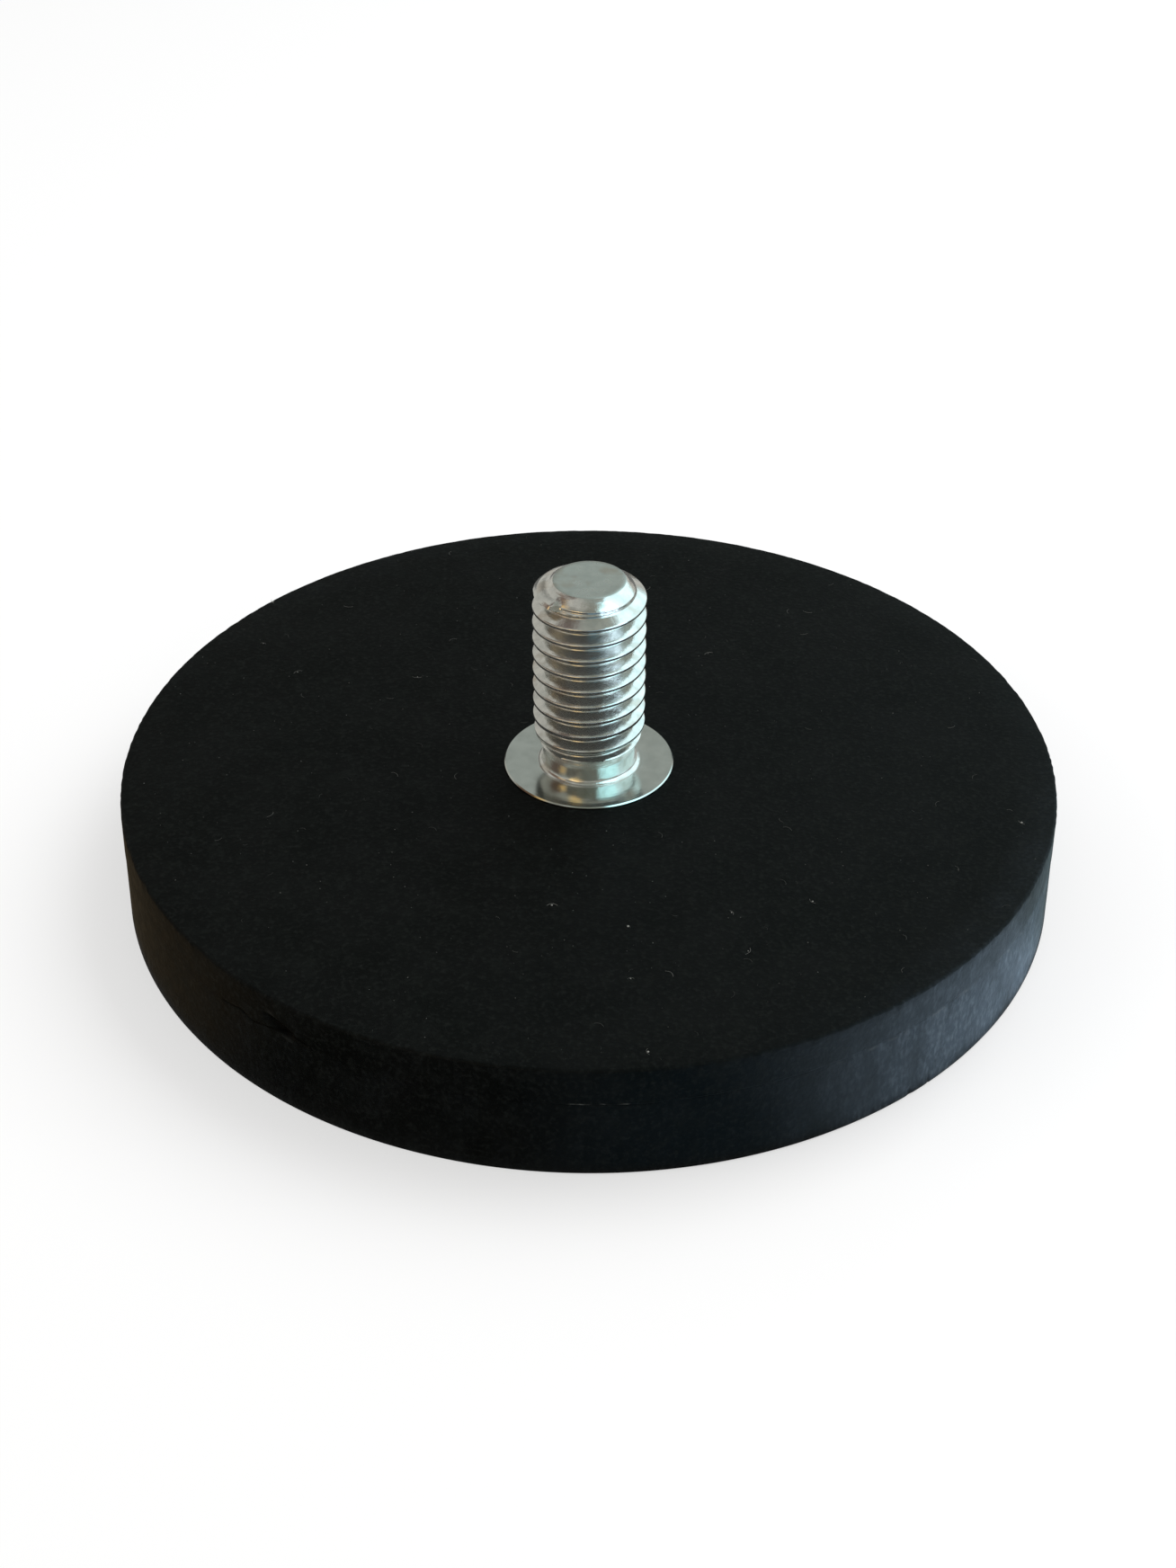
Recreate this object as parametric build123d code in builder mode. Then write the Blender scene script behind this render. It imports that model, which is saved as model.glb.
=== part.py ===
from build123d import *
import os
from math import asin, cos, pi, radians, sin

# Rubber-coated pot magnet, 66 mm across, with an M8 threaded stud.
#
# A steel yoke plate carries two rings of disc magnets on its underside and a flanged stud riveted
# through its middle. One rubber jacket is moulded round all of it. Millimetres, +Z up along the
# stud, origin at the centre of the holding face.

# Rubber jacket
top_skin = 2.0  # rubber over the yoke plate
bottom_skin = 1.0  # rubber under the magnets
side_wall = 3.5  # rubber round the yoke plate's edge
top_edge_radius = 0.35
bottom_edge_chamfer = 0.4
parting_drop = 2.7  # from the top face down to the mould's parting line
parting_step = 0.08  # the band above the parting line stands this much proud
bond_line = 0.03  # bonding agent between the rubber and the metal's round walls

# Yoke plate
plate_diameter = 59.0
plate_thickness = 2.5

# Disc magnets
magnet_diameter = 10.0
magnet_thickness = 3.0
magnet_spacing = 0.9  # least rubber between two neighbours of a ring
outer_ring_margin = 1.5  # from the outer ring to the plate's edge
ring_gap = 2.0  # least rubber between the inner ring and the outer one
inner_ring_turn = 15.0  # degrees, so that the inner discs face gaps of the outer ring

# Stud
stud_reach = 15.0  # from the rubber's top face to the stud's tip
thread_diameter = 7.9  # crest of the rolled M8 thread
neck_diameter = 6.5
neck_height = 1.2
neck_fillet = 0.4
runout_height = 1.6  # cone from the neck up to the full thread
tip_flat_diameter = 5.0
tip_bevel_diameter = 5.9
tip_bevel_height = 0.2
flange_diameter = 12.0
flange_proud = 0.2  # the flange stands this much above the rubber
flange_edge_chamfer = 0.08
shank_diameter = 7.0
rivet_head_diameter = 9.0  # the shank's upset end, flush with the plate's underside
rivet_head_height = 1.2
rivet_clearance = 0.02

# Heights above the holding face
magnet_bottom = bottom_skin
plate_bottom = magnet_bottom + magnet_thickness
plate_top = plate_bottom + plate_thickness
jacket_top = plate_top + top_skin
parting_height = jacket_top - parting_drop
flange_top = jacket_top + flange_proud
neck_top = flange_top + neck_height
thread_bottom = neck_top + runout_height
stud_tip = jacket_top + stud_reach

# Radii
jacket_radius = plate_diameter / 2 + side_wall
thread_radius = thread_diameter / 2
neck_radius = neck_diameter / 2
tip_bevel_radius = tip_bevel_diameter / 2
outer_ring_radius = plate_diameter / 2 - outer_ring_margin - magnet_diameter / 2
inner_ring_radius = outer_ring_radius - magnet_diameter - ring_gap


def places_on_ring(ring_radius, first_angle):
    """The centres of as many discs as fit on a ring, even in number so that their poles alternate."""
    half_pitch = (magnet_diameter + magnet_spacing) / 2
    if ring_radius < half_pitch:
        return []
    count = 2 * int(pi / asin(half_pitch / ring_radius) / 2)
    angles = [radians(first_angle + n * 360 / count) for n in range(count)]
    return [(ring_radius * cos(angle), ring_radius * sin(angle)) for angle in angles]


magnet_rings = {
    "outer": places_on_ring(outer_ring_radius, 0),
    "inner": places_on_ring(inner_ring_radius, inner_ring_turn),
}


def corners_at(section, height):
    """The corners that a half section has at one height, from the axis outwards."""
    return section.vertices().filter_by_position(Axis.Y, height, height).sort_by(Axis.X)


def save(part, name):
    part.label = name
    export_step(part, f"parts/{name}.step")


os.makedirs("parts", exist_ok=True)

# Rubber jacket: one moulding, with the pockets that the metal pieces fill
with BuildPart() as rubber_jacket:
    with BuildSketch(Plane.XZ) as half_section:
        with BuildLine():
            Polyline(
                (0, 0),
                (jacket_radius - parting_step, 0),
                (jacket_radius - parting_step, parting_height),
                (jacket_radius, parting_height),
                (jacket_radius, jacket_top),
                (0, jacket_top),
                close=True,
            )
        make_face()
        chamfer(corners_at(half_section, 0)[-1], bottom_edge_chamfer)
        fillet(corners_at(half_section, jacket_top)[-1], top_edge_radius)
    revolve(axis=Axis.Z)
    with BuildSketch(Plane.XY.offset(plate_bottom)):
        Circle(plate_diameter / 2 + bond_line)
    extrude(amount=plate_thickness, mode=Mode.SUBTRACT)
    with BuildSketch(Plane.XY.offset(magnet_bottom)):
        with Locations(*magnet_rings["outer"], *magnet_rings["inner"]):
            Circle(magnet_diameter / 2 + bond_line)
    extrude(amount=magnet_thickness, mode=Mode.SUBTRACT)
    with BuildSketch(Plane.XY.offset(plate_top)):
        Circle(flange_diameter / 2 + bond_line)
    extrude(amount=top_skin, mode=Mode.SUBTRACT)
save(rubber_jacket.part, "rubber_jacket")

# Yoke plate: a stamped disc, countersunk from below for the stud's riveted end
with BuildPart() as yoke_plate:
    with BuildSketch(Plane.XY.offset(plate_bottom)):
        Circle(plate_diameter / 2)
    extrude(amount=plate_thickness)
    with BuildSketch(Plane.XY.offset(plate_bottom)):
        Circle(shank_diameter / 2 + rivet_clearance)
    extrude(amount=plate_thickness, mode=Mode.SUBTRACT)
    with BuildSketch(Plane.XZ):
        with BuildLine():
            Polyline(
                (0, plate_bottom),
                (rivet_head_diameter / 2 + rivet_clearance, plate_bottom),
                (shank_diameter / 2 + rivet_clearance, plate_bottom + rivet_head_height),
                (0, plate_bottom + rivet_head_height),
                close=True,
            )
        make_face()
    revolve(axis=Axis.Z, mode=Mode.SUBTRACT)
save(yoke_plate.part, "yoke_plate")

# Stud: riveted shank, flange, neck and the blank that the M8 thread is rolled on
with BuildPart() as threaded_stud:
    with BuildSketch(Plane.XZ) as stud_section:
        with BuildLine():
            Polyline(
                (0, plate_bottom),
                (rivet_head_diameter / 2, plate_bottom),
                (shank_diameter / 2, plate_bottom + rivet_head_height),
                (shank_diameter / 2, plate_top),
                (flange_diameter / 2, plate_top),
                (flange_diameter / 2, flange_top - flange_edge_chamfer),
                (flange_diameter / 2 - flange_edge_chamfer, flange_top),
                (neck_radius, flange_top),
                (neck_radius, neck_top),
                (thread_radius, thread_bottom),
                (thread_radius, stud_tip - tip_bevel_height - (thread_radius - tip_bevel_radius)),
                (tip_bevel_radius, stud_tip - tip_bevel_height),
                (tip_flat_diameter / 2, stud_tip),
                (0, stud_tip),
                close=True,
            )
        make_face()
        fillet(corners_at(stud_section, flange_top)[0], neck_fillet)
    revolve(axis=Axis.Z)
save(threaded_stud.part, "threaded_stud")

# Disc magnets: flat against the plate's underside, their poles alternating round each ring
for ring_name, places in magnet_rings.items():
    for number, place in enumerate(places, start=1):
        with BuildPart() as disc_magnet:
            with BuildSketch(Plane.XY.offset(magnet_bottom)):
                with Locations(place):
                    Circle(magnet_diameter / 2)
            extrude(amount=magnet_thickness)
        save(disc_magnet.part, f"magnet_{ring_name}_{number:02d}")
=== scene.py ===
"""The looks of a rubber-coated pot magnet with an M8 stud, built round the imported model.

Metres, +Z up along the stud, origin at the centre of the holding face. Angles round the disc are
counted from the front, -Y, towards +X.
"""

from math import cos, pi, radians, sin, tau

import bmesh
import bpy
import numpy as np
from mathutils import Matrix, Vector


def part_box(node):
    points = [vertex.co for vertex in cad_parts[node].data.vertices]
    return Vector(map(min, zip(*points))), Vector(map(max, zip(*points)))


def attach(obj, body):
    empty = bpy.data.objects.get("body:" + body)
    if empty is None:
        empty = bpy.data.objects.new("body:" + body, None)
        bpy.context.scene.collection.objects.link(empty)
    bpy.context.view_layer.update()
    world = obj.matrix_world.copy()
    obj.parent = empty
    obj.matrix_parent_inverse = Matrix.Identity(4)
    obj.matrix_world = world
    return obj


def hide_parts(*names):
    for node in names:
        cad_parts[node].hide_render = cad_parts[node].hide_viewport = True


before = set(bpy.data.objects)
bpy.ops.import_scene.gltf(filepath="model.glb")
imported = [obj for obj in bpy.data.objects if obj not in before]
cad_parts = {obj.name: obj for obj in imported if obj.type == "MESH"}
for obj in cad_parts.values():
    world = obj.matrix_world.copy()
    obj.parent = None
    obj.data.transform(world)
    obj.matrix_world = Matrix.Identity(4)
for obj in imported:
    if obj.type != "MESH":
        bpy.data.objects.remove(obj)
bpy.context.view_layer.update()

MM = 0.001

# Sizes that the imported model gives
jacket_low, jacket_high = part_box("rubber_jacket")
stud_low, stud_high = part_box("threaded_stud")
DISC_RADIUS = jacket_high.x
DISC_TOP = jacket_high.z
STUD_TIP = stud_high.z
FLANGE_RADIUS = stud_high.x
PLATE_BOTTOM = stud_low.z

# Rubber jacket
JACKET_STEPS = 1440  # round the disc, 0.14 mm each
JACKET_SHARP = radians(40)  # edges that turn further than this are shaded sharp
TOP_EDGE_RADIUS = 0.22 * MM
BOTTOM_EDGE_RADIUS = 0.15 * MM
PARTING_HEIGHT = DISC_TOP - 2.7 * MM
FLANGE_HOLE_RADIUS = FLANGE_RADIUS + 0.03 * MM
# the side wall's marks: bloom with a painted sheen on the right, pale marks with a painted highlight
# on the pit's lip, and painted shade in the creases
WALL_MARKS = ("bloom_and_painted_sheen", "pale", "painted_crease_shade")  # attributes of the side wall, each from 0 to 1

# Stud, from the tip down to its riveted end
STUD_STEPS = 128  # round the stud
STUD_SHARP = radians(38)
TIP_FLAT_RADIUS = 2.5 * MM
TIP_RIM_RADIUS = 2.2 * MM  # inside this the sheared tip dips a hair, up to its middle
TIP_BEVEL_RADIUS = 2.72 * MM
THREAD_TOP = STUD_TIP - 0.2 * MM
NECK_TOP = DISC_TOP + 1.4 * MM
NECK_RADIUS = 3.25 * MM
NECK_FILLET = 0.4 * MM
FLANGE_TOP = DISC_TOP + 0.2 * MM
FLANGE_BOTTOM = DISC_TOP - 2.0 * MM
FLANGE_EDGE = 0.08 * MM
SHANK_RADIUS = 3.5 * MM
RIVET_HEAD_RADIUS = 4.5 * MM
RIVET_HEAD_HEIGHT = 1.2 * MM

# M8 x 1.25 rolled thread
PITCH = 1.25 * MM
PITCH_STEPS = 32  # across one pitch of the strip that the thread is wound from
PITCH_RADIUS = 3.594 * MM
SHARP_V_HEIGHT = 1.0825 * MM
GROOVE_AT_FRONT = 21.13 * MM  # height of one groove's centre at the front
BREAK_ANGLE = 40  # degrees left of the front, where the last crest breaks off on the chamfer
WELD = 0.002 * MM  # points of the thread that lie this close are one
LEVEL_TOLERANCE = 0.003 * MM


def linear(hex_code):
    """An sRGB hex colour as linear red, green, blue and alpha."""
    channels = [int(hex_code[i : i + 2], 16) / 255 for i in (1, 3, 5)]
    return [c / 12.92 if c <= 0.04045 else ((c + 0.055) / 1.055) ** 2.4 for c in channels] + [1.0]


def add(tree, kind, inputs=None, **settings):
    """Adds a node with its settings. Its inputs go by name or number, and each is set to a value or
    linked from a socket or from another node's first output."""
    node = tree.nodes.new(kind)
    for name, value in settings.items():
        setattr(node, name, value)
    for name, value in (inputs or {}).items():
        source = value.outputs[0] if isinstance(value, bpy.types.Node) else value
        if isinstance(source, bpy.types.NodeSocket):
            tree.links.new(source, node.inputs[name])
        else:
            node.inputs[name].default_value = source
    return node


def new_material(name):
    """A new material, its tree and the tree's Object coordinates."""
    material = bpy.data.materials.new(name)
    material.use_nodes = True
    tree = material.node_tree
    tree.nodes.clear()
    return material, tree, add(tree, "ShaderNodeTexCoord").outputs["Object"]


def piece(name, mesh, *materials):
    """An object at the origin that shows a mesh in these materials. The mesh comes without any,
    so that its faces keep the numbers they have been given."""
    mesh.name = name
    for material in materials:
        mesh.materials.append(material)
    made = bpy.data.objects.new(name, mesh)
    bpy.context.scene.collection.objects.link(made)
    return made


def to_mesh(bm, name):
    """Turns a bmesh into a new mesh and frees it."""
    mesh = bpy.data.meshes.new(name)
    bm.to_mesh(mesh)
    bm.free()
    return mesh


# Materials


def pattern(tree, place, size_mm, stretch=(1, 1, 1), **values):
    """Noise whose features are about this many millimetres across."""
    mapped = add(tree, "ShaderNodeMapping", {"Vector": place, "Scale": stretch})
    inputs = {"Vector": mapped, "Scale": 1 / (size_mm * MM)} | values
    return add(tree, "ShaderNodeTexNoise", inputs)


def layered(tree, tone, layers):
    """A colour with others laid over it. Each layer has a colour and the patterns whose product is
    its share. A pattern has a source, the two values that it is stretched between and the shares
    that they stand for."""
    for colour, patterns in layers:
        share = 1.0
        for source, low, high, least, most in patterns:
            part = add(tree, "ShaderNodeMapRange", {0: source, 1: low, 2: high, 3: least, 4: most})
            share = add(tree, "ShaderNodeMath", {0: share, 1: part}, operation="MULTIPLY")
        mixed = add(tree, "ShaderNodeMix", {0: share, 6: tone, 7: linear(colour)}, data_type="RGBA")
        tone = mixed.outputs[2]
    return tone


def moulded_rubber():
    """Black nitrile rubber, compression moulded: matt and sooty, with a fine blasted-mould grain.
    Its low gloss only shows at a grazing angle. Antioxidant bloom leaves cloudy, upright streaks
    on the side wall, most on the lower band, and is laid on thickest on the right, where the light
    falls, as a painted sheen. Trimmed flash and scuffs are pale, and the torn lip of the pit is
    painted pale as a highlight. The parting groove, the pit, its cracks and the nick and slit in
    the bottom edge are painted black as shade."""
    material, tree, place = new_material("moulded_nitrile_rubber")
    # the grain, really a tenth of a millimetre or so, is drawn coarser so that it shows
    grain = pattern(tree, place, 0.3, Detail=4.0)
    soot = pattern(tree, place, 5.0, Detail=4.0)
    mottle = pattern(tree, place, 0.9, Detail=3.0)
    streak = pattern(tree, place, 0.3, (1, 1, 0.5), Detail=6.0)
    cloud = pattern(tree, place, 3.0, (1, 1, 0.6), Detail=3.0, Distortion=0.4)
    bloom_and_painted_sheen, pale, painted_crease_shade = (
        (add(tree, "ShaderNodeAttribute", attribute_name=name).outputs["Fac"], 0, 1, 0, 1)
        for name in WALL_MARKS
    )
    tone = layered(
        tree,
        linear("#050605"),
        [
            ("#090a09", [(soot, 0.35, 0.65, 0.0, 1.0)]),
            ("#101210", [(mottle, 0.5, 0.75, 0.0, 0.6)]),
            ("#171917", [(grain, 0.5, 0.75, 0.0, 0.7)]),
            # bluish bloom streaks, partly real bloom and partly a painted sheen, laid on thickest on
            # the right where the light falls
            ("#2e353b", [bloom_and_painted_sheen, (cloud, 0.35, 0.65, 0.2, 1.0)]),
            ("#545d63", [bloom_and_painted_sheen, (streak, 0.45, 0.7, 0.0, 0.7), (cloud, 0.4, 0.65, 0.25, 1.0)]),
            # pale slivers of flash and scuffs, and the pit's torn lip painted pale as a highlight
            ("#6c6d68", [pale]),
            # the parting groove, pit, cracks, nick and slit, painted black as shade in their hollows
            ("#020202", [painted_crease_shade]),
        ],
    )
    rough = add(tree, "ShaderNodeMapRange", {0: mottle, 1: 0.3, 2: 0.7, 3: 0.5, 4: 0.6})
    bump = add(tree, "ShaderNodeBump", {"Height": grain, "Strength": 0.5, "Distance": 0.05 * MM})
    surface = add(
        tree,
        "ShaderNodeBsdfPrincipled",
        {"Base Color": tone, "Roughness": rough, "Specular IOR Level": 0.045, "Normal": bump},
    )
    add(tree, "ShaderNodeOutputMaterial", {"Surface": surface})
    return material


def zinc_plate(name, colours, roughness, ripple_strength):
    """Bright zinc plate on rolled steel, under a clear chromate whose faint milkiness keeps it
    from a full mirror: pale blue-grey and glossy, with the soft ripple and the dulled and
    faintly yellow patches of a barrel-plated thread."""
    material, tree, place = new_material(name)
    patch = pattern(tree, place, 0.8, Detail=3.0)
    ripple = pattern(tree, place, 0.4, Detail=5.0, Roughness=0.6)
    stain = pattern(tree, place, 1.6, Detail=2.0)
    tone = layered(
        tree,
        linear(colours[0]),
        [
            (colours[1], [(patch, 0.35, 0.65, 0.0, 1.0)]),
            ("#a58f74", [(stain, 0.55, 0.7, 0.0, 0.35)]),
        ],
    )
    low, high = roughness
    rough = add(tree, "ShaderNodeMapRange", {0: patch, 1: 0.3, 2: 0.7, 3: low, 4: high})
    bump = add(
        tree,
        "ShaderNodeBump",
        {"Height": ripple, "Strength": ripple_strength, "Distance": 0.04 * MM},
    )
    surface = add(
        tree,
        "ShaderNodeBsdfPrincipled",
        {"Base Color": tone, "Metallic": 0.87, "Roughness": rough, "Normal": bump},
    )
    add(tree, "ShaderNodeOutputMaterial", {"Surface": surface})
    return material


def turned_zinc():
    """Zinc plate over a turned face: satin, with fine rings round the stud left by the tool."""
    material, tree, place = new_material("turned_zinc_flange")
    patch = pattern(tree, place, 1.2, Detail=3.0)
    # 0.28 mm apart, since the node has 20 / tau rings to each 0.9 mm
    rings = add(
        tree,
        "ShaderNodeTexWave",
        {"Vector": place, "Scale": 1 / (0.9 * MM), "Distortion": 0.6, "Detail": 2.0},
        wave_type="RINGS",
        rings_direction="Z",
    )
    tone = layered(tree, linear("#bdc1bb"), [("#b2b6b0", [(patch, 0.35, 0.65, 0.0, 1.0)])])
    rough = add(tree, "ShaderNodeMapRange", {0: patch, 1: 0.3, 2: 0.7, 3: 0.13, 4: 0.18})
    bump = add(
        tree,
        "ShaderNodeBump",
        {"Height": rings.outputs[1], "Strength": 0.1, "Distance": 0.01 * MM},
    )
    surface = add(
        tree,
        "ShaderNodeBsdfPrincipled",
        {"Base Color": tone, "Metallic": 1.0, "Roughness": rough, "Normal": bump},
    )
    add(tree, "ShaderNodeOutputMaterial", {"Surface": surface})
    return material


def plain_metal(name, colours, roughness, grain_mm):
    """A metal that the jacket hides: a rolled or sintered surface under its plating."""
    material, tree, place = new_material(name)
    grain = pattern(tree, place, grain_mm, Detail=3.0)
    tone = layered(tree, linear(colours[0]), [(colours[1], [(grain, 0.0, 1.0, 0.0, 1.0)])])
    low, high = roughness
    rough = add(tree, "ShaderNodeMapRange", {0: grain, 1: 0.3, 2: 0.7, 3: low, 4: high})
    bump = add(tree, "ShaderNodeBump", {"Height": grain, "Strength": 0.15, "Distance": 0.02 * MM})
    surface = add(
        tree,
        "ShaderNodeBsdfPrincipled",
        {"Base Color": tone, "Metallic": 1.0, "Roughness": rough, "Normal": bump},
    )
    add(tree, "ShaderNodeOutputMaterial", {"Surface": surface})
    return material


def lint():
    """Dust and lint on the rubber: dull grey, each speck its own shade."""
    material, tree, _ = new_material("grey_lint")
    shade = add(tree, "ShaderNodeAttribute", attribute_name="shade").outputs["Fac"]
    tone = layered(tree, linear("#262826"), [("#a2a39d", [(shade, 0.0, 1.0, 0.0, 1.0)])])
    surface = add(
        tree,
        "ShaderNodeBsdfPrincipled",
        {"Base Color": tone, "Roughness": 0.9, "Specular IOR Level": 0.1},
    )
    add(tree, "ShaderNodeOutputMaterial", {"Surface": surface})
    return material


# Thread


def set_curve(node, points):
    """Gives a float curve node straight runs through these points."""
    curve = node.mapping.curves[0]
    while len(curve.points) < len(points):
        curve.points.new(0.5, 0.5)
    for point, (x, y) in zip(curve.points, points):
        point.location = (x, y)
        point.handle_type = "VECTOR"
    node.mapping.update()


def new_tree(name, sizes, takes_points=False):
    """A geometry tree with these sizes as its inputs, and the sockets that they come from."""
    tree = bpy.data.node_groups.new(name, "GeometryNodeTree")
    tree.interface.new_socket("Geometry", in_out="OUTPUT", socket_type="NodeSocketGeometry")
    if takes_points:
        tree.interface.new_socket("Geometry", in_out="INPUT", socket_type="NodeSocketGeometry")
    for size, value in sizes.items():
        socket = tree.interface.new_socket(size, in_out="INPUT", socket_type="NodeSocketFloat")
        socket.default_value = value
    return tree, add(tree, "NodeGroupInput").outputs


def end_tree(tree, geometry, material):
    """Ends a geometry tree in real geometry of one material."""
    real = add(tree, "GeometryNodeRealizeInstances", {"Geometry": geometry})
    coated = add(tree, "GeometryNodeSetMaterial", {"Geometry": real, "Material": material})
    add(tree, "NodeGroupOutput", {"Geometry": coated})


def thread_tree(material):
    """Geometry nodes that roll a right-hand 60 degree thread: a strip of one pitch is wound up
    the stud, its sharp V is cut back to the crest and root, and both ends are cut level."""
    sizes = {
        "Pitch": PITCH,
        "Pitch Radius": PITCH_RADIUS,
        "V Height": SHARP_V_HEIGHT,
        "Bottom": NECK_TOP,
        "Top": THREAD_TOP,
        "Groove at Front": GROOVE_AT_FRONT,
        "Crest Rounding": 0.07 * MM,
        "Root Rounding": 0.10 * MM,
        "Break": 0.6 * MM,
    }
    tree, given = new_tree("rolled_thread", sizes)
    turns = int((THREAD_TOP - NECK_TOP) / PITCH) + 2
    columns, rows = STUD_STEPS * turns + 1, PITCH_STEPS + 1
    strip = add(
        tree,
        "GeometryNodeMeshGrid",
        {"Size X": 1.0, "Size Y": 1.0, "Vertices X": columns, "Vertices Y": rows},
    )
    place = add(tree, "GeometryNodeInputPosition")
    flat = add(tree, "ShaderNodeSeparateXYZ", {0: place}).outputs
    known = {size: given[size] for size in sizes} | {"x": flat[0], "y": flat[1]}

    # the radii that the crest and root are cut back to, at heights in millimetres
    neck, tip = NECK_RADIUS / MM, TIP_BEVEL_RADIUS / MM
    bottom, top = NECK_TOP / MM, THREAD_TOP / MM
    limits = {
        "crest": [(bottom, neck), (10.3, 3.34), (11.2, 3.78), (12.0, 3.92), (15.0, 3.95),
                  (22.5, 3.95), (22.69, 3.74), (22.87, 3.58), (23.0, 3.32), (23.12, 3.0),
                  (top, tip)],
        "root": [(bottom, neck), (10.4, 3.24), (11.4, 3.2), (22.8, 3.2), (23.0, 3.02), (top, tip)],
    }
    least, most = 2.5, 4.5  # millimetres, at the curves' 0 and 1
    curves = []
    for name, points in limits.items():
        shares = [
            ((z * MM - NECK_TOP) / (THREAD_TOP - NECK_TOP), (r - least) / (most - least))
            for z, r in points
        ]
        known[f"{name} curve"] = add(tree, "ShaderNodeFloatCurve")
        set_curve(known[f"{name} curve"], shares)
        curves.append(known[f"{name} curve"])

    # each row has a result, its operation and the values that go in
    rows = [
        ("from start", "ADD", "x", 0.5),
        ("turn", "MULTIPLY", "from start", float(turns)),
        ("share", "ADD", "y", 0.5),
        # the strip's edges are groove centres, so that one starts below the bottom at the front
        ("below", "SUBTRACT", "Bottom", "Pitch"),
        ("to groove", "SUBTRACT", "Groove at Front", "below"),
        ("lowest", "FLOORED_MODULO", "to groove", "Pitch"),
        ("first groove", "ADD", "below", "lowest"),
        ("start", "SUBTRACT", "first groove", "Pitch"),
        ("pitches", "ADD", "turn", "share"),
        ("raised", "MULTIPLY", "Pitch", "pitches"),
        ("height", "ADD", "start", "raised"),
        ("over bottom", "MAXIMUM", "height", "Bottom"),
        ("level", "MINIMUM", "over bottom", "Top"),
        ("climb", "SUBTRACT", "level", "Bottom"),
        ("whole climb", "SUBTRACT", "Top", "Bottom"),
        ("along", "DIVIDE", "climb", "whole climb"),
        # the sharp V falls from the middle of the strip to both its edges
        ("doubled", "MULTIPLY", "share", 2.0),
        ("off middle", "SUBTRACT", "doubled", 1.0),
        ("from crest", "ABSOLUTE", "off middle"),
        ("above pitch line", "SUBTRACT", 0.5, "from crest"),
        ("rise", "MULTIPLY", "V Height", "above pitch line"),
        ("sharp", "ADD", "Pitch Radius", "rise"),
        ("uncut crest", "MULTIPLY_ADD", "crest curve", (most - least) * MM, least * MM),
        ("root", "MULTIPLY_ADD", "root curve", (most - least) * MM, least * MM),
        # the last crest, over the groove above the one given, breaks off within 0.03 of a turn
        ("last groove", "ADD", "Groove at Front", "Pitch"),
        ("up to it", "SUBTRACT", "last groove", "start"),
        ("turns up to it", "DIVIDE", "up to it", "Pitch"),
        ("last turn", "ROUND", "turns up to it"),
        ("break", "SUBTRACT", "last turn", BREAK_ANGLE / 360),
        ("past break", "SUBTRACT", "turn", "break"),
        ("since start", "ADD", "past break", 0.02),
        ("broken", "DIVIDE", "since start", 0.03),
        # at the strip's edges the crest meets the root too, so that one turn joins the next
        ("into edge", "SUBTRACT", "from crest", 0.9),
        ("at edge", "DIVIDE", "into edge", 0.09),
        ("either", "MAXIMUM", "broken", "at edge"),
        ("some", "MAXIMUM", "either", 0.0),
        ("fallen", "MINIMUM", "some", 1.0),
        ("fall", "MULTIPLY", "fallen", "Break"),
        ("lowered", "SUBTRACT", "uncut crest", "fall"),
        ("crest", "MAXIMUM", "lowered", "root"),
        # at both ends the crest meets the root, so that the end rings are true circles
        ("crest cut", "SMOOTH_MIN", "sharp", "crest", "Crest Rounding"),
        ("root cut", "SMOOTH_MAX", "crest cut", "root", "Root Rounding"),
        ("under crest", "MINIMUM", "root cut", "crest"),
        ("radius", "MAXIMUM", "under crest", "root"),
        ("angle", "MULTIPLY_ADD", "turn", tau, -pi / 2),
        ("cosine", "COSINE", "angle"),
        ("sine", "SINE", "angle"),
        ("sideways", "MULTIPLY", "radius", "cosine"),
        ("backwards", "MULTIPLY", "radius", "sine"),
    ]
    for name, operation, *values in rows:
        inputs = {n: known[v] if isinstance(v, str) else v for n, v in enumerate(values)}
        known[name] = add(tree, "ShaderNodeMath", inputs, operation=operation)
    for curve in curves:
        tree.links.new(known["along"].outputs[0], curve.inputs["Value"])

    placed = add(
        tree,
        "ShaderNodeCombineXYZ",
        {0: known["sideways"], 1: known["backwards"], 2: known["level"]},
    )
    wound = add(
        tree,
        "GeometryNodeSetPosition",
        {"Geometry": strip.outputs["Mesh"], "Position": placed},
    )
    joined = add(tree, "GeometryNodeMergeByDistance", {"Geometry": wound, "Distance": WELD})
    end_tree(tree, joined, material)
    return tree


def run_nodes(name, tree, start=None):
    """The plain mesh that a geometry tree makes, from an empty mesh or the one given."""
    carrier = bpy.data.objects.new(name, start or bpy.data.meshes.new(name))
    bpy.context.scene.collection.objects.link(carrier)
    modifier = carrier.modifiers.new("nodes", "NODES")
    modifier.node_group = tree
    for item in tree.interface.items_tree:
        if item.item_type == "SOCKET" and item.in_out == "INPUT" and hasattr(item, "default_value"):
            modifier[item.identifier] = item.default_value
    graph = bpy.context.evaluated_depsgraph_get()
    mesh = bpy.data.meshes.new_from_object(carrier.evaluated_get(graph))
    mesh.materials.clear()
    bpy.data.objects.remove(carrier)
    return mesh


def level_loop(bm, height):
    """The open edges that lie at a height."""
    return [
        e
        for e in bm.edges
        if e.is_boundary and all(abs(v.co.z - height) < LEVEL_TOLERANCE for v in e.verts)
    ]


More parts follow.
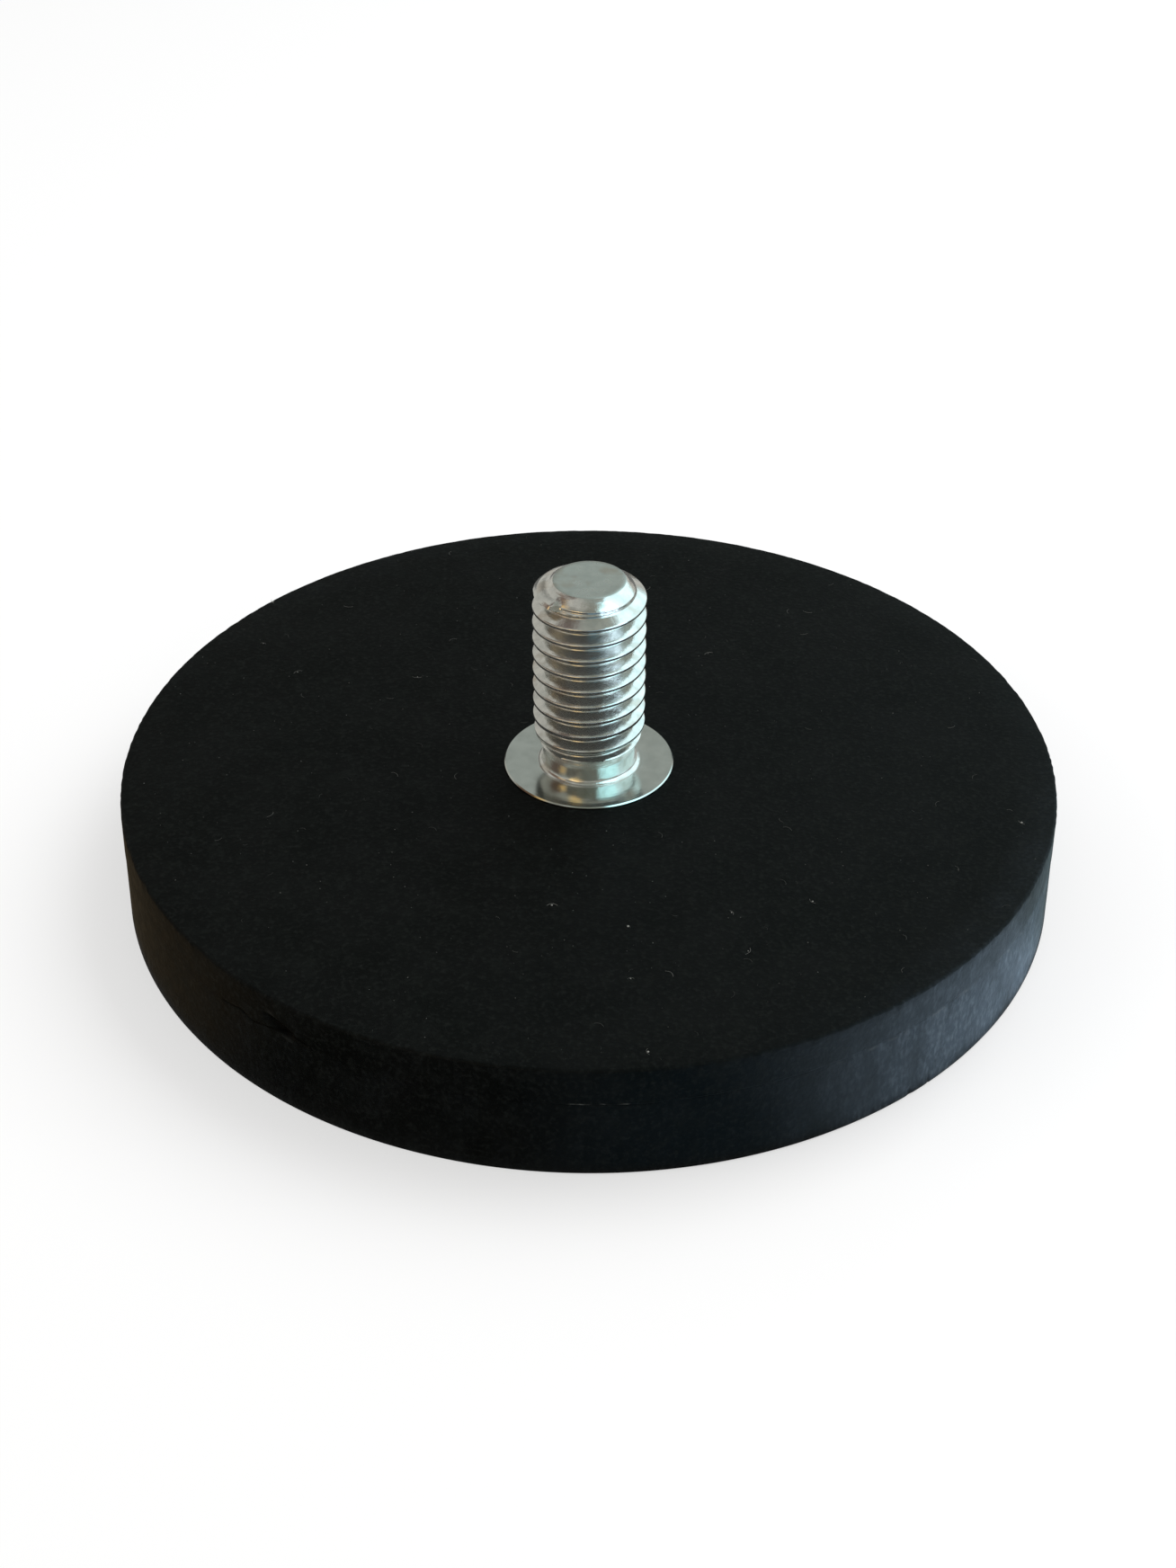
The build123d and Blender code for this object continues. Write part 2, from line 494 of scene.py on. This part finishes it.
def turn_on(bm, edges, profile, material_index=0):
    """Turns rings on from an open loop, through points of radius and height, and closes the last
    one with a cap if its radius is 0."""
    for radius, height in profile:
        if radius == 0:
            centre = bm.verts.new((0, 0, height))
            for e in edges:
                face = bm.faces.new((e.verts[0], e.verts[1], centre))
                face.material_index = material_index
            return []
        made = bmesh.ops.extrude_edge_only(bm, edges=edges)["geom"]
        edges = [g for g in made if isinstance(g, bmesh.types.BMEdge)]
        for v in [g for g in made if isinstance(g, bmesh.types.BMVert)]:
            outward = Vector((v.co.x, v.co.y, 0)).normalized()
            v.co = outward * radius + Vector((0, 0, height))
        for f in [g for g in made if isinstance(g, bmesh.types.BMFace)]:
            f.material_index = material_index
    return edges


def corner(radius, height, size, start, steps):
    """A quarter round between two level or upright runs: its centre, its size, and the angle in
    degrees that it starts at."""
    angles = [radians(start + 90 * n / steps) for n in range(steps + 1)]
    return [(radius + size * cos(a), height + size * sin(a)) for a in angles]


def build_stud(plate, tip_face, flange_face):
    """The thread, closed by the tip at one end and the neck, flange and shank at the other."""
    mesh = run_nodes("stud_thread", thread_tree(plate))
    bm = bmesh.new()
    bm.from_mesh(mesh)
    bpy.data.meshes.remove(mesh)
    bmesh.ops.dissolve_degenerate(bm, dist=0.0005 * MM, edges=bm.edges[:])
    # the bevel's two edges are eased a little
    tip_edges = turn_on(
        bm,
        level_loop(bm, THREAD_TOP),
        [
            (TIP_BEVEL_RADIUS - 0.03 * MM, THREAD_TOP + 0.02 * MM),
            (TIP_FLAT_RADIUS + 0.04 * MM, STUD_TIP - 0.015 * MM),
        ],
    )
    turn_on(
        bm,
        tip_edges,
        [
            (TIP_FLAT_RADIUS, STUD_TIP),
            (TIP_RIM_RADIUS, STUD_TIP),
            (TIP_RIM_RADIUS - 0.08 * MM, STUD_TIP - 0.006 * MM),
            (1.0 * MM, STUD_TIP - 0.006 * MM),
            (0, STUD_TIP),
        ],
        1,
    )
    fillet = corner(NECK_RADIUS + NECK_FILLET, FLANGE_TOP + NECK_FILLET, NECK_FILLET, 180, 6)
    low = turn_on(bm, level_loop(bm, NECK_TOP), fillet)
    low = turn_on(
        bm,
        low,
        [
            # two rings more across the flat, to keep its shading level
            (4.4 * MM, FLANGE_TOP),
            (5.2 * MM, FLANGE_TOP),
            (FLANGE_RADIUS - FLANGE_EDGE, FLANGE_TOP),
            (FLANGE_RADIUS, FLANGE_TOP - FLANGE_EDGE),
            (FLANGE_RADIUS, FLANGE_BOTTOM),
        ],
        2,
    )
    turn_on(
        bm,
        low,
        [
            (SHANK_RADIUS, FLANGE_BOTTOM),
            (SHANK_RADIUS, PLATE_BOTTOM + RIVET_HEAD_HEIGHT),
            (RIVET_HEAD_RADIUS, PLATE_BOTTOM),
            (0, PLATE_BOTTOM),
        ],
    )
    bmesh.ops.recalc_face_normals(bm, faces=bm.faces[:])
    for f in bm.faces:
        f.smooth = True
    mesh = to_mesh(bm, "stud")
    mesh.set_sharp_from_angle(angle=STUD_SHARP)
    return piece("zinc_plated_stud", mesh, plate, tip_face, flange_face)


# Rubber jacket


def jacket_profile():
    """Half section of the jacket's outer skin, from the flange hole over the rim to the bottom."""
    across = [FLANGE_HOLE_RADIUS, 6.6 * MM, 9 * MM, 14 * MM, 20 * MM, 26 * MM, 30 * MM]
    points = [(r, DISC_TOP) for r in across]
    rim = corner(DISC_RADIUS - TOP_EDGE_RADIUS, DISC_TOP - TOP_EDGE_RADIUS, TOP_EDGE_RADIUS, 0, 5)
    points += rim[::-1]
    # the wall's rings lie closest about the parting line
    high, low = DISC_TOP - TOP_EDGE_RADIUS, BOTTOM_EDGE_RADIUS
    seam = PARTING_HEIGHT
    heights = [high, seam + 1.3 * MM, seam + 0.2 * MM, seam - 0.2 * MM, seam - 0.8 * MM, 1.2 * MM, low]
    for upper, lower, steps in zip(heights, heights[1:], (3, 11, 12, 4, 5, 4)):
        points += [(DISC_RADIUS, z) for z in np.linspace(upper, lower, steps + 1)[1:]]
    floor_rim = corner(DISC_RADIUS - BOTTOM_EDGE_RADIUS, low, BOTTOM_EDGE_RADIUS, 270, 4)
    points += floor_rim[-2::-1]
    points += [(r, 0) for r in (28 * MM, 12 * MM)]
    return np.array(points)


def hump(value, centre, width, power=2):
    """A bell of height 1, with a flatter top and steeper sides the higher its power."""
    return np.exp(-np.abs((value - centre) / width) ** power)


def uneven(turn, periods, seed):
    """Smooth noise round the disc, between -1 and 1, with this many bumps."""
    values = np.random.default_rng(seed).uniform(-1, 1, periods)
    return np.interp(turn, np.linspace(-180, 180, periods, endpoint=False), values, period=360)


def distance_to_line(x, y, corners):
    """How far points lie from a line through these corners."""
    nearest = np.full(x.shape, 99.0)
    for (ax, ay), (bx, by) in zip(corners, corners[1:]):
        along = ((x - ax) * (bx - ax) + (y - ay) * (by - ay)) / ((bx - ax) ** 2 + (by - ay) ** 2)
        along = np.clip(along, 0, 1)
        apart = np.hypot(x - ax - along * (bx - ax), y - ay - along * (by - ay))
        nearest = np.minimum(nearest, apart)
    return nearest


def seam_height(turn):
    """Height of the mould's parting line in millimetres, which wanders a little."""
    drift = 0.05 * uneven(turn, 60, 1) + 0.03 * uneven(turn, 500, 2) + 0.22 * hump(turn, 48, 26)
    return PARTING_HEIGHT / MM + drift


def wall_marks(turn, z):
    """The side wall at angles in degrees and heights in millimetres: how many millimetres it
    stands in from the full radius, and its bloom, pale and crease marks. The bloom is partly a
    painted sheen on the right, the pale marks hold a painted highlight on the pit's torn lip, and
    the crease marks are painted shade. The mould's parting line is a fine groove with traces of
    flash, and the band below it is set in a little. A pit left of the front has a torn lip and
    cracks beside it."""
    round_wall = np.radians(turn)
    seam = seam_height(turn)
    wave = uneven(turn, 24, 3) + 0.5 * uneven(turn + 3 * z, 90, 4)
    below = np.clip((seam - z) / 0.03, 0, 1)
    patchy = np.clip(uneven(turn, 150, 5) + 0.6 * uneven(turn, 600, 6), 0, 1)
    step = 0.03 + 0.04 * hump(turn, -10, 40)
    groove = (0.2 + 0.8 * patchy) * below * np.exp(-np.clip(seam - z, 0, 9) / 0.07)
    flash = 0.02 * hump(turn, -20, 40) * patchy * hump(z, seam + 0.03, 0.04)
    # the trimmed top edge is ragged, with small bites
    ragged = 0.03 * uneven(turn, 500, 7) + 0.09 * np.clip(uneven(turn, 260, 8) - 0.4, 0, 1)
    ragged = ragged * np.clip((z - 7.9) / 0.4, 0, 1)
    inward = 0.018 + 0.007 * wave + step * below + 0.07 * groove - flash + ragged
    # the groove is painted black as shade
    painted_crease_shade = groove
    # pit, in millimetres from its centre, slanting down to the right
    across = (round_wall - radians(-36.3)) * DISC_RADIUS / MM
    up = z - 6.4 + 0.28 * across
    pit = hump(across, 0, 0.95, 4) * hump(up, 0, 0.4, 4)
    lip = hump(across, -0.75, 0.5) * hump(up, 0.5, 0.12)
    lip = lip + 0.5 * hump(across, 0.5, 0.5) * hump(up, -0.5, 0.1)
    # cracks on both sides of it, through angles in degrees and heights in millimetres
    cracks = [(-45.2, 5.78), (-42.2, 6.04), (-40.3, 5.6), (-38.2, 5.9), (-34.2, 6.2), (-32.5, 5.95)]
    places = [(radians(a) * DISC_RADIUS / MM, h) for a, h in cracks]
    crack = hump(distance_to_line(round_wall * DISC_RADIUS / MM, z + 0 * turn, places), 0, 0.09)
    inward = inward + 0.5 * pit + 0.07 * crack - 0.008 * lip
    # nick in the bottom edge, with a short upright crack beside it
    nick = hump(turn, 39.2, 0.3) * np.clip((0.8 - z) / 0.3, 0, 1)
    slit = hump(turn, 42.2, 0.16) * np.clip((1.4 - z) / 0.5, 0, 1)
    inward = inward + 0.05 * nick + 0.05 * slit
    # slivers of trimmed flash on the step at the front
    sliver = hump(turn, -1.05, 1.15, 6) + hump(turn, 3.9, 0.62, 6) + 0.8 * hump(turn, 1.7, 0.2)
    jagged = 0.03 * uneven(turn, 900, 9)
    sliver = np.clip(sliver, 0, 1) * hump(z, seam + jagged, 0.06, 4)
    sliver = sliver * (0.6 + 0.4 * uneven(turn, 1100, 10))
    inward = inward - 0.02 * sliver
    # the slivers of flash are pale, and the pit's torn lip is painted pale as a highlight where its
    # ridge catches the light
    pale = 0.5 * sliver + 0.1 * np.clip(lip, 0, 1) * (1 - pit)
    # scuffs along the seam on the right
    dashes = np.clip(uneven(turn, 420, 11) + 0.5 * uneven(turn, 1000, 12) - 0.1, 0, 1)
    scuff = dashes * hump(turn, 47, 21, 4) * hump(z, seam - 0.2 + 0.12 * uneven(turn, 200, 13), 0.08)
    pale = pale + (0.25 + 0.4 * hump(turn, 60, 5, 4)) * scuff
    # the pit, cracks, nick and slit are painted black as shade too, but not the slivers of flash over
    # the groove
    painted_crease_shade = painted_crease_shade * (1 - np.clip(sliver, 0, 1)) + pit + crack + 0.8 * nick + 0.8 * slit
    # bloom, thickest on the right and again behind on the left, with a thin stripe and a thick
    # one beside it; its thickness on the right, where the light falls, is a painted sheen
    from_back = (turn + 150 + 180) % 360 - 180
    bloom_and_painted_sheen = 0.03 + 0.97 * hump(turn, 58, 27, 4) + 0.35 * hump(from_back, 0, 40)
    bloom_and_painted_sheen = (0.4 + 0.6 * below) * bloom_and_painted_sheen
    bloom_and_painted_sheen = bloom_and_painted_sheen * (1 - 0.35 * hump(turn, 40, 1.2)) + 0.3 * hump(turn, 42.9, 0.5) * below
    marks = [np.clip(mark, 0, 1) for mark in (bloom_and_painted_sheen, pale, painted_crease_shade)]
    return np.maximum(inward, 0), dict(zip(WALL_MARKS, marks))


def pockets():
    """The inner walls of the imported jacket, without its outer skin."""
    inner = bmesh.new()
    inner.from_mesh(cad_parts["rubber_jacket"].data)
    bmesh.ops.remove_doubles(inner, verts=inner.verts[:], dist=0.001 * MM)
    outside = [
        f
        for f in inner.faces
        if max(v.co.xy.length for v in f.verts) > DISC_RADIUS - 1.5 * MM
        or all(v.co.z > DISC_TOP - 0.01 * MM for v in f.verts)
        or all(v.co.z < 0.01 * MM for v in f.verts)
    ]
    bmesh.ops.delete(inner, geom=outside, context="FACES")
    return to_mesh(inner, "pockets")


def build_jacket(rubber):
    """The moulded skin of the jacket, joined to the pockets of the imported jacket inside."""
    profile = jacket_profile()
    turn = np.linspace(-180, 180, JACKET_STEPS, endpoint=False)
    rings = []
    marked = {name: [] for name in WALL_MARKS}
    for radius, height in profile:
        # near the parting line the rings follow it
        near = np.clip(1.6 - abs(height - PARTING_HEIGHT) / (0.6 * MM), 0, 1)
        rise = near * (seam_height(turn) - PARTING_HEIGHT / MM)
        z = height / MM + rise
        inward, marks = wall_marks(turn, z)
        on_wall = np.clip(1 - (DISC_RADIUS - radius) / (0.3 * MM), 0, 1)
        r = radius - on_wall * inward * MM
        x, y = r * np.sin(np.radians(turn)), -r * np.cos(np.radians(turn))
        rings.append(np.stack([x, y, z * MM], 1))
        for name, mark in marks.items():
            marked[name].append(on_wall * mark)
    vertices = np.concatenate(rings + [[[0, 0, 0]]])
    n = np.arange(JACKET_STEPS)
    after = (n + 1) % JACKET_STEPS
    faces = []
    for k in range(len(profile) - 1):
        a, b = k * JACKET_STEPS, (k + 1) * JACKET_STEPS
        faces += np.stack([a + n, b + n, b + after, a + after], 1).tolist()
    last = (len(profile) - 1) * JACKET_STEPS
    faces += [(int(last + i), len(vertices) - 1, int(last + j)) for i, j in zip(n, after)]
    skin = bpy.data.meshes.new("skin")
    skin.from_pydata(vertices.tolist(), [], faces)
    for name, marks in marked.items():
        layer = skin.attributes.new(name, "FLOAT", "POINT")
        layer.data.foreach_set("value", np.append(np.concatenate(marks), 0).astype(np.float32))
    bm = bmesh.new()
    bm.from_mesh(skin)
    inside = pockets()
    bm.from_mesh(inside)
    bpy.data.meshes.remove(skin)
    bpy.data.meshes.remove(inside)
    bmesh.ops.bridge_loops(bm, edges=[e for e in bm.edges if e.is_boundary])
    bmesh.ops.recalc_face_normals(bm, faces=bm.faces[:])
    for f in bm.faces:
        f.smooth = True
        f.material_index = 0
    mesh = to_mesh(bm, "jacket")
    mesh.set_sharp_from_angle(angle=JACKET_SHARP)
    return piece("moulded_rubber_jacket", mesh, rubber)


# Lint on the rubber's top face


def lint_tree(material):
    """Geometry nodes that scatter specks and short curled fibres over the top face, and put a
    larger speck on each point of the piece's own mesh."""
    sizes = {
        "Radius": DISC_RADIUS - 0.6 * MM,
        "Height": DISC_TOP,
        "Clear Radius": FLANGE_RADIUS + 0.5 * MM,
        "Specks per Area": 150000.0,
        "Fibres per Area": 30000.0,
        "Speck Radius": 0.05 * MM,
    }
    tree, given = new_tree("scattered_lint", sizes, takes_points=True)
    disc = add(
        tree,
        "GeometryNodeMeshCircle",
        {"Vertices": 96, "Radius": given["Radius"]},
        fill_type="NGON",
    )
    level = add(tree, "ShaderNodeCombineXYZ", {2: given["Height"]})
    face = add(tree, "GeometryNodeSetPosition", {"Geometry": disc, "Offset": level})
    speck = add(
        tree,
        "GeometryNodeMeshIcoSphere",
        {"Radius": given["Speck Radius"], "Subdivisions": 1},
    )
    curl = add(
        tree,
        "GeometryNodeCurveQuadraticBezier",
        {
            "Resolution": 7,
            "Start": (-0.35 * MM, 0, 0.01 * MM),
            "Middle": (0.05 * MM, 0.3 * MM, 0.06 * MM),
            "End": (0.4 * MM, -0.05 * MM, 0.01 * MM),
        },
    )
    strand = add(
        tree,
        "GeometryNodeCurvePrimitiveCircle",
        {"Resolution": 4, "Radius": 0.014 * MM},
    )
    fibre = add(
        tree,
        "GeometryNodeCurveToMesh",
        {"Curve": curl, "Profile Curve": strand, "Fill Caps": True},
    )

    def scatter(points, shape, seed, scale, shades):
        """Puts copies of a shape on points, each with its own turn, size and shade."""
        turned = add(
            tree,
            "FunctionNodeRandomValue",
            {0: (0, 0, 0), 1: (0, 0, tau), "Seed": seed},
            data_type="FLOAT_VECTOR",
        )
        sized = add(tree, "FunctionNodeRandomValue", {2: scale[0], 3: scale[1], "Seed": seed + 1})
        shade = add(tree, "FunctionNodeRandomValue", {2: shades[0], 3: shades[1], "Seed": seed + 2})
        shaded = add(
            tree,
            "GeometryNodeStoreNamedAttribute",
            {"Geometry": points, "Name": "shade", "Value": shade.outputs[1]},
            data_type="FLOAT",
            domain="POINT",
        )
        return add(
            tree,
            "GeometryNodeInstanceOnPoints",
            {"Points": shaded, "Instance": shape, "Rotation": turned, "Scale": sized.outputs[1]},
        )

    def scattered_points(density, seed):
        """Points all over the top face, except close round the flange."""
        spots = add(
            tree,
            "GeometryNodeDistributePointsOnFaces",
            {"Mesh": face, "Density": density, "Seed": seed},
        )
        place = add(tree, "GeometryNodeInputPosition")
        level_place = add(tree, "ShaderNodeVectorMath", {0: place, 1: (1, 1, 0)}, operation="MULTIPLY")
        reach = add(tree, "ShaderNodeVectorMath", {0: level_place}, operation="LENGTH")
        near = add(
            tree,
            "ShaderNodeMath",
            {0: reach.outputs["Value"], 1: given["Clear Radius"]},
            operation="LESS_THAN",
        )
        return add(tree, "GeometryNodeDeleteGeometry", {"Geometry": spots, "Selection": near})

    speck_places = scattered_points(given["Specks per Area"], 4)
    fibre_places = scattered_points(given["Fibres per Area"], 7)
    marked = add(tree, "GeometryNodeMeshToPoints", {"Mesh": given["Geometry"]})
    parts = [
        scatter(speck_places, speck, seed=10, scale=(0.3, 1.0), shades=(0.0, 0.24)),
        scatter(fibre_places, fibre, seed=20, scale=(0.3, 1.0), shades=(0.03, 0.32)),
        scatter(marked, speck, seed=30, scale=(0.8, 1.9), shades=(0.3, 0.9)),
        scatter(marked, fibre, seed=40, scale=(0.5, 1.0), shades=(0.25, 0.5)),
    ]
    joined = add(tree, "GeometryNodeJoinGeometry")
    for part in parts:
        tree.links.new(part.outputs[0], joined.inputs[0])
    end_tree(tree, joined, material)
    return tree


# millimetres to the right of the stud and behind it
LARGE_SPECKS = [
    (14.8, -16.2), (9.4, -17.4), (10.3, -21.4), (2.7, -24.2), (-12.8, 10.8), (-21.8, 11.4),
    (-24.8, 15.4), (9.0, 14.2), (29.8, -7.3), (-2.4, -16.7), (2.6, -18.9), (3.7, -31.2),
    (-24.7, 21.5),
]

rubber = moulded_rubber()
zinc = zinc_plate("bright_zinc_plate", ("#cfcfc9", "#bcbeb9"), (0.08, 0.2), ripple_strength=0.42)
zinc_tip = zinc_plate("sheared_zinc_tip", ("#b5bbb4", "#aab0a9"), (0.26, 0.34), ripple_strength=0.1)
zinc_flange = turned_zinc()
yoke_steel = plain_metal("cold_rolled_steel", ("#8b8b88", "#77777a"), (0.35, 0.5), grain_mm=0.4)
nickel = plain_metal("nickel_plated_magnet", ("#b9b3a6", "#a8a297"), (0.2, 0.32), grain_mm=0.25)
dust = lint()

jacket = build_jacket(rubber)
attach(jacket, "root")
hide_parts("rubber_jacket")

stud = build_stud(zinc, zinc_tip, zinc_flange)
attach(stud, "root")
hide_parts("threaded_stud")

lint_points = bpy.data.meshes.new("large_specks")
lint_points.from_pydata([(x * MM, y * MM, DISC_TOP) for x, y in LARGE_SPECKS], [], [])
lint_mesh = run_nodes("lint", lint_tree(dust), lint_points)
lint_piece = piece("lint_on_rubber", lint_mesh, dust)
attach(lint_piece, "root")

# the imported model's own plate and magnets, which the jacket hides
for name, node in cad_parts.items():
    finish = yoke_steel if name == "yoke_plate" else nickel if name.startswith("magnet") else None
    if finish:
        for spot in node.material_slots:
            spot.material = finish


# Studio

TENT_RADIUS = 0.6
CLOTH_REACH = 10  # its outer radius over its inner one
WORLD_STRENGTH = 0.62  # for light on the magnet; to the eye the world is white


def build_floor():
    """A white table just under the magnet. The camera sees it half lit up, so that it is white
    and the shadow on it is light."""
    material, tree, _ = new_material("white_table")
    surface = add(
        tree,
        "ShaderNodeBsdfPrincipled",
        {"Base Color": linear("#fafaf9"), "Roughness": 0.9, "Specular IOR Level": 0.1},
    )
    seen = add(tree, "ShaderNodeLightPath").outputs["Is Camera Ray"]
    half_seen = add(tree, "ShaderNodeMath", {0: seen, 1: 0.5}, operation="MULTIPLY")
    white = add(tree, "ShaderNodeEmission", {"Color": linear("#ffffff"), "Strength": 1.0})
    shown = add(tree, "ShaderNodeMixShader", {0: half_seen, 1: surface, 2: white})
    add(tree, "ShaderNodeOutputMaterial", {"Surface": shown})
    half = 2.0
    corners = [(-half, -half, 0), (half, -half, 0), (half, half, 0), (-half, half, 0)]
    mesh = bpy.data.meshes.new("table")
    mesh.from_pydata(corners, [], [(0, 1, 2, 3)])
    floor = piece("white_table", mesh, material)
    floor.location.z = -0.02 * MM


def lamp(name, direction, distance, size, power, colour):
    """A soft box that faces the magnet from a direction. Reflections show the tent instead."""
    data = bpy.data.lights.new(name, "AREA")
    data.shape = "RECTANGLE"
    data.size, data.size_y = size
    data.energy = power
    data.color = linear(colour)[:3]
    made = bpy.data.objects.new(name, data)
    towards = Vector(direction).normalized()
    made.location = towards * distance + Vector((0, 0, 12 * MM))
    made.rotation_mode = "QUATERNION"
    made.rotation_quaternion = towards.to_track_quat("Z", "Y")
    made.visible_glossy = False
    bpy.context.scene.collection.objects.link(made)


def reflected(name, mesh, base, zones):
    """A lining of the studio that only reflections see, as soft boxes and flags. Each zone has a
    direction from the magnet, the angles in degrees where it is full and where it ends, and a
    colour as linear light."""
    material, tree, place = new_material(name)
    outward = add(tree, "ShaderNodeVectorMath", {0: place}, operation="NORMALIZE")
    paint = (*base, 1)
    for direction, full, ends, colour in zones:
        towards = Vector(direction).normalized()
        facing = add(tree, "ShaderNodeVectorMath", {0: outward, 1: towards}, operation="DOT_PRODUCT")
        share = add(
            tree,
            "ShaderNodeMapRange",
            {0: facing.outputs["Value"], 1: cos(radians(ends)), 2: cos(radians(full))},
            interpolation_type="SMOOTHSTEP",
        )
        mixed = add(tree, "ShaderNodeMix", {0: share, 6: paint, 7: (*colour, 1)}, data_type="RGBA")
        paint = mixed.outputs[2]
    glow = add(tree, "ShaderNodeEmission", {"Color": paint})
    add(tree, "ShaderNodeOutputMaterial", {"Surface": glow})
    material.cycles.emission_sampling = "NONE"
    made = piece(name, mesh, material)
    made.visible_camera = False
    made.visible_diffuse = False
    made.visible_shadow = False


def build_tent():
    """A dome over the magnet, and a cloth on the table round it."""
    bm = bmesh.new()
    bmesh.ops.create_uvsphere(bm, u_segments=48, v_segments=24, radius=TENT_RADIUS)
    below_table = [v for v in bm.verts if v.co.z < -10 * MM]
    bmesh.ops.delete(bm, geom=below_table, context="VERTS")
    reflected(
        "tent",
        to_mesh(bm, "tent"),
        (0.62, 0.61, 0.57),
        [
            ((0, 0.8, 0.6), 18, 32, (0.12, 0.12, 0.11)),
            ((0, 0.8, 0.6), 10, 18, (0.5, 0.53, 0.51)),
            ((0, -0.8, 0.6), 14, 34, (0.26, 0.27, 0.23)),
            ((0.12, -0.12, 1), 13, 28, (0.34, 0.37, 0.33)),
            ((-0.43, 0.05, 0.9), 4, 15, (0.1, 0.055, 0.04)),
            ((-0.82, 0, 0.55), 8, 25, (0.17, 0.09, 0.055)),
            ((-0.57, -0.57, 0.6), 8, 18, (0.2, 0.19, 0.16)),
            ((-0.75, -0.27, 0.6), 3, 10, (1.3, 0.85, 0.35)),
            ((0.8, -0.05, 0.6), 22, 34, (1.7, 2.3, 2.6)),
            ((0.63, -0.49, 0.6), 15, 26, (1.9, 3.2, 3.6)),
            ((0.62, 0.45, 0.62), 23, 38, (1.5, 2.0, 2.15)),
            ((-0.5, -0.84, 0.2), 6, 18, (2.1, 1.5, 0.75)),
        ],
    )
    bm = bmesh.new()
    bmesh.ops.create_circle(bm, segments=96, radius=DISC_RADIUS + 0.3 * MM)
    outer = bmesh.ops.extrude_edge_only(bm, edges=bm.edges[:])["geom"]
    for v in (g for g in outer if isinstance(g, bmesh.types.BMVert)):
        v.co *= CLOTH_REACH
    for v in bm.verts:
        v.co.z = 0.05 * MM
    reflected(
        "table_cloth",
        to_mesh(bm, "table_cloth"),
        (0.025, 0.022, 0.018),
        [
            ((0, 1, 0), 50, 90, (0.12, 0.12, 0.115)),
            ((-0.966, -0.259, 0), 15, 35, (0.36, 0.27, 0.16)),
            ((0.34, -0.94, 0), 5, 30, (0.2, 0.5, 0.72)),
            ((0.83, -0.56, 0), 12, 38, (2.6, 3.4, 4.2)),
            ((1, 0, 0), 8, 24, (0.75, 0.95, 0.95)),
        ],
    )


def build_world():
    """An even, plain light from all round, which shows white."""
    world = bpy.data.worlds.new("studio")
    bpy.context.scene.world = world
    world.use_nodes = True
    tree = world.node_tree
    tree.nodes.clear()
    path = add(tree, "ShaderNodeLightPath").outputs
    seen = path["Is Camera Ray"]
    for kind in ("Is Glossy Ray", "Is Transmission Ray"):
        seen = add(tree, "ShaderNodeMath", {0: seen, 1: path[kind]}, operation="MAXIMUM")
    strength = add(tree, "ShaderNodeMapRange", {0: seen, 3: WORLD_STRENGTH, 4: 1.0})
    light = add(tree, "ShaderNodeBackground", {"Color": linear("#ffffff"), "Strength": strength})
    add(tree, "ShaderNodeOutputWorld", {"Surface": light})


def build_camera():
    """Stands where the photo was taken from: 195 mm away and 36.9 degrees up, turned a little."""
    distance, elevation = 195.015 * MM, radians(36.851)
    yaw, pitch, roll = radians(-0.029), radians(4.911), radians(0.218)
    data = bpy.data.cameras.new("camera")
    data.sensor_width = 36.0
    data.lens = 61.25
    data.shift_y = -0.1
    data.clip_start = 0.01
    data.clip_end = 10.0
    camera = bpy.data.objects.new("camera", data)
    place = Vector((0, -distance * cos(elevation), distance * sin(elevation)))
    ahead = -place.normalized()
    right = Vector((1, 0, 0))
    up = right.cross(ahead)
    ahead, right = ahead * cos(yaw) + right * sin(yaw), right * cos(yaw) - ahead * sin(yaw)
    ahead, up = ahead * cos(pitch) + up * sin(pitch), up * cos(pitch) - ahead * sin(pitch)
    right, up = right * cos(roll) + up * sin(roll), up * cos(roll) - right * sin(roll)
    facing = Matrix((right, up, -ahead)).transposed()
    camera.matrix_world = Matrix.Translation(place) @ facing.to_4x4()
    bpy.context.scene.collection.objects.link(camera)
    bpy.context.scene.camera = camera


build_floor()
build_world()
build_tent()
build_camera()
lamp("key_softbox", (0.55, 0.3, 0.78), 0.4, (0.34, 0.34), 1.1, "#fafcff")
lamp("fill_softbox", (-0.8, -0.3, 0.5), 0.4, (0.24, 0.24), 0.28, "#fff9f2")

bpy.context.scene.view_settings.view_transform = "Standard"
